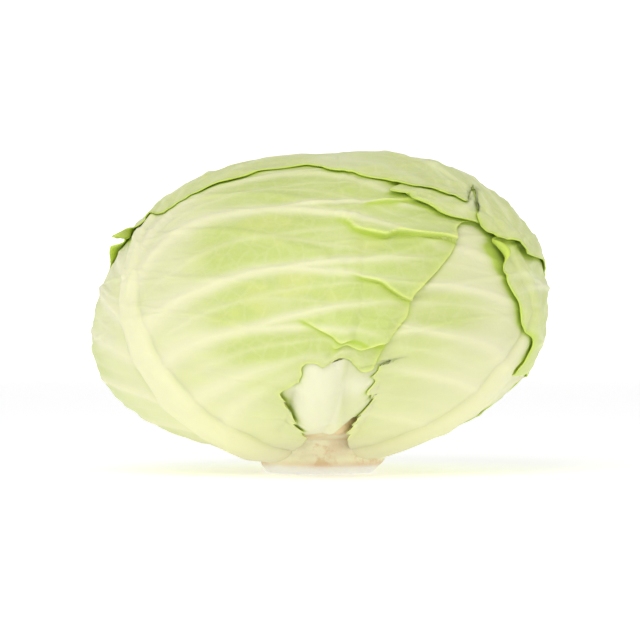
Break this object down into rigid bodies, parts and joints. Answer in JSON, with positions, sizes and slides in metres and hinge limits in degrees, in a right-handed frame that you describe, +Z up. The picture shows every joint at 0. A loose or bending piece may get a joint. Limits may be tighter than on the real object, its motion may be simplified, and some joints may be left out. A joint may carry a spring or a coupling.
{
  "type": "cabbage head",
  "caption": "Flat-topped white cabbage head standing on its cut stem, with pale wrapped leaves, raised ribs, waved edges and a greener back leaf.",
  "frame": {"origin": "centre of the stem's flat cut face, on the surface that the head stands on", "axes": "+Z up through the head's crown, +X to the right as seen from the front, +Y towards the back"},
  "size_m": [0.2052, 0.1997, 0.1461],
  "materials": {
    "stem": "matte",
    "inner_leaf": "satin",
    "pale_leaf": "satin",
    "green_leaf": "matte"
  },
  "bodies": {
    "root": {"stem_stub": "stem", "inner_head": "inner_leaf", "leaf_front_rib": "inner_leaf", "leaf_left_back": "pale_leaf", "leaf_front_right": "pale_leaf", "leaf_front_left": "pale_leaf", "leaf_right_back": "green_leaf", "leaf_back": "green_leaf"}
  },
  "joints": []
}
